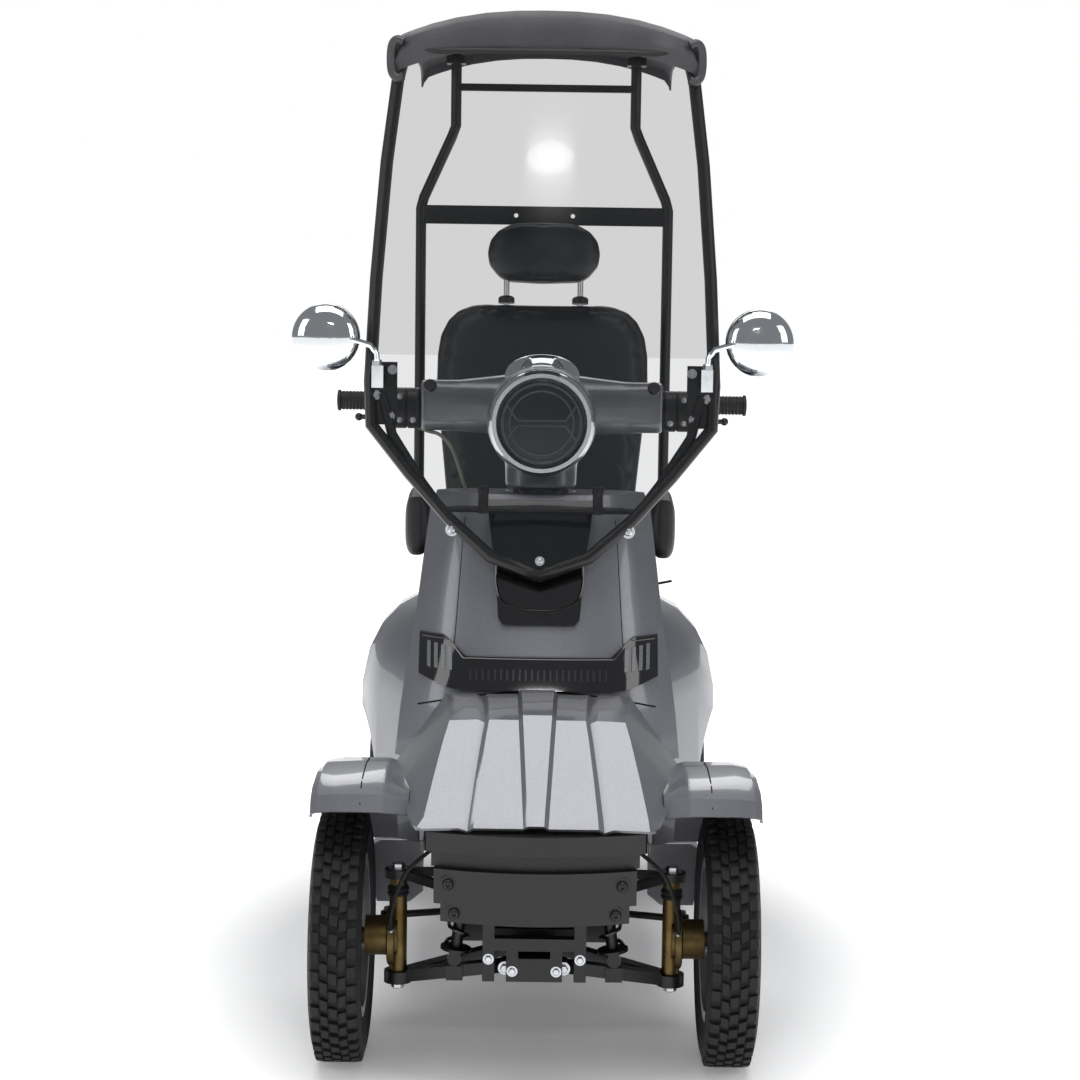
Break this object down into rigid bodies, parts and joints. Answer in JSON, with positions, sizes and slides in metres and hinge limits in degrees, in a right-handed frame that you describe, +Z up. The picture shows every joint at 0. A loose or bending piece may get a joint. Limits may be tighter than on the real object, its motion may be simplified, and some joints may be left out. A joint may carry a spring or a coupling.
{
  "type": "four-wheel mobility scooter with roof and windscreen",
  "caption": "Electric seated scooter for one rider with a moulded roof, full windscreen, steered front wheels, swivel seat and flip-up armrests.",
  "frame": {"origin": "on the ground, at the middle of the length and width", "axes": "+Z up, the scooter faces -Y, and its own left side is +X"},
  "size_m": [0.862, 1.68, 1.8],
  "materials": {
    "silver_paint": "metallic silver-grey paint on moulded panels",
    "black_plastic": "grained black moulding",
    "gloss_black": "gloss black moulding",
    "frame_black": "black powder coat",
    "spring_steel": "bright steel",
    "cast_case": "painted casting",
    "smoked_lens": "smoked lens",
    "red_lens": "red lens",
    "clear_screen": "clear sheet",
    "chrome": "bright chrome",
    "roof_plastic": "dark grey grained moulding",
    "grip_rubber": "ribbed rubber",
    "yellow_zinc": "yellow passivated zinc",
    "tyre_rubber": "tyre rubber",
    "alloy_rim": "painted alloy",
    "seat_vinyl": "black vinyl"
  },
  "bodies": {
    "chassis": {"chassis_frame": "frame_black", "front_subframe": "frame_black", "front_arms": "frame_black", "shock_bodies": "frame_black", "shock_springs": "spring_steel", "bumper": "black_plastic", "nose_cowl": "silver_paint", "leg_shield": "silver_paint", "apron_panel": "gloss_black", "light_band": "smoked_lens", "floor_pan": "black_plastic", "side_skirts": "silver_paint", "rear_body": "silver_paint", "battery_box": "black_plastic", "seat_pedestal": "frame_black", "tail_lamps": "red_lens", "rear_bumper": "frame_black", "rear_axle": "cast_case", "windscreen": "clear_screen", "windscreen_frame": "frame_black", "mirrors": "chrome", "canopy_roof": "roof_plastic", "canopy_frame": "frame_black"},
    "steering": {"steering_stem": "frame_black", "handlebar_cover": "silver_paint", "headlight": "chrome", "instrument_pod": "chrome", "grips": "grip_rubber", "hand_controls": "black_plastic"},
    "knuckle_left": {"knuckle_left": "yellow_zinc"},
    "knuckle_right": {"knuckle_right": "yellow_zinc"},
    "tie_rod_left": {"tie_rod_left": "spring_steel"},
    "tie_rod_right": {"tie_rod_right": "spring_steel"},
    "wheel_front_left": {"tyre_front_left": "tyre_rubber", "rim_front_left": "alloy_rim"},
    "wheel_front_right": {"tyre_front_right": "tyre_rubber", "rim_front_right": "alloy_rim"},
    "wheel_rear_left": {"tyre_rear_left": "tyre_rubber", "rim_rear_left": "alloy_rim"},
    "wheel_rear_right": {"tyre_rear_right": "tyre_rubber", "rim_rear_right": "alloy_rim"},
    "seat": {"seat_base": "frame_black", "seat_cushion": "seat_vinyl", "seat_backrest": "seat_vinyl"},
    "headrest": {"headrest": "seat_vinyl"},
    "armrest_left": {"armrest_left": "seat_vinyl"},
    "armrest_right": {"armrest_right": "seat_vinyl"}
  },
  "joints": [
    {"name": "steering_turn", "type": "hinge", "parent": "chassis", "child": "steering", "pos_m": [0, -0.2, 1.078], "axis": [0, 0.3746, 0.9272], "range_deg": [-25, 25]},
    {"name": "knuckle_left_turn", "type": "hinge", "parent": "chassis", "child": "knuckle_left", "pos_m": [0.228, -0.61, 0.209], "axis": [0, 0, 1], "range_deg": [-25.1, 25.1]},
    {"name": "knuckle_right_turn", "type": "hinge", "parent": "chassis", "child": "knuckle_right", "pos_m": [-0.228, -0.61, 0.209], "axis": [0, 0, 1], "range_deg": [-25.1, 25.1]},
    {"name": "tie_rod_left_pivot", "type": "hinge", "parent": "knuckle_left", "child": "tie_rod_left", "pos_m": [0.248, -0.555, 0.228], "axis": [0, 0, 1], "range_deg": [-25.2, 25.2]},
    {"name": "tie_rod_right_pivot", "type": "hinge", "parent": "knuckle_right", "child": "tie_rod_right", "pos_m": [-0.248, -0.555, 0.228], "axis": [0, 0, 1], "range_deg": [-25.2, 25.2]},
    {"name": "front_left_roll", "type": "hinge", "parent": "knuckle_left", "child": "wheel_front_left", "pos_m": [0.32, -0.61, 0.209], "axis": [1, 0, 0], "continuous": true},
    {"name": "front_right_roll", "type": "hinge", "parent": "knuckle_right", "child": "wheel_front_right", "pos_m": [-0.32, -0.61, 0.209], "axis": [1, 0, 0], "continuous": true},
    {"name": "rear_left_roll", "type": "hinge", "parent": "chassis", "child": "wheel_rear_left", "pos_m": [0.3, 0.57, 0.218], "axis": [1, 0, 0], "continuous": true},
    {"name": "rear_right_roll", "type": "hinge", "parent": "chassis", "child": "wheel_rear_right", "pos_m": [-0.3, 0.57, 0.218], "axis": [1, 0, 0], "continuous": true},
    {"name": "seat_swivel", "type": "hinge", "parent": "chassis", "child": "seat", "pos_m": [0, 0.29, 0.661], "axis": [0, 0, 1], "range_deg": [-90, 90]},
    {"name": "headrest_height", "type": "slide", "parent": "seat", "child": "headrest", "axis": [0, 0.1736, 0.9848], "range_m": [0, 0.06]},
    {"name": "armrest_left_flip", "type": "hinge", "parent": "seat", "child": "armrest_left", "pos_m": [0.242, 0.394, 0.804], "axis": [1, 0, 0], "range_deg": [-90, 0]},
    {"name": "armrest_right_flip", "type": "hinge", "parent": "seat", "child": "armrest_right", "pos_m": [-0.242, 0.394, 0.804], "axis": [1, 0, 0], "range_deg": [-90, 0]}
  ],
  "couplings": [
    {"joint": "knuckle_left_turn", "follows": "steering_turn", "ratio": 1},
    {"joint": "knuckle_right_turn", "follows": "steering_turn", "ratio": 1},
    {"joint": "tie_rod_left_pivot", "follows": "steering_turn", "ratio": -1},
    {"joint": "tie_rod_right_pivot", "follows": "steering_turn", "ratio": -1}
  ]
}
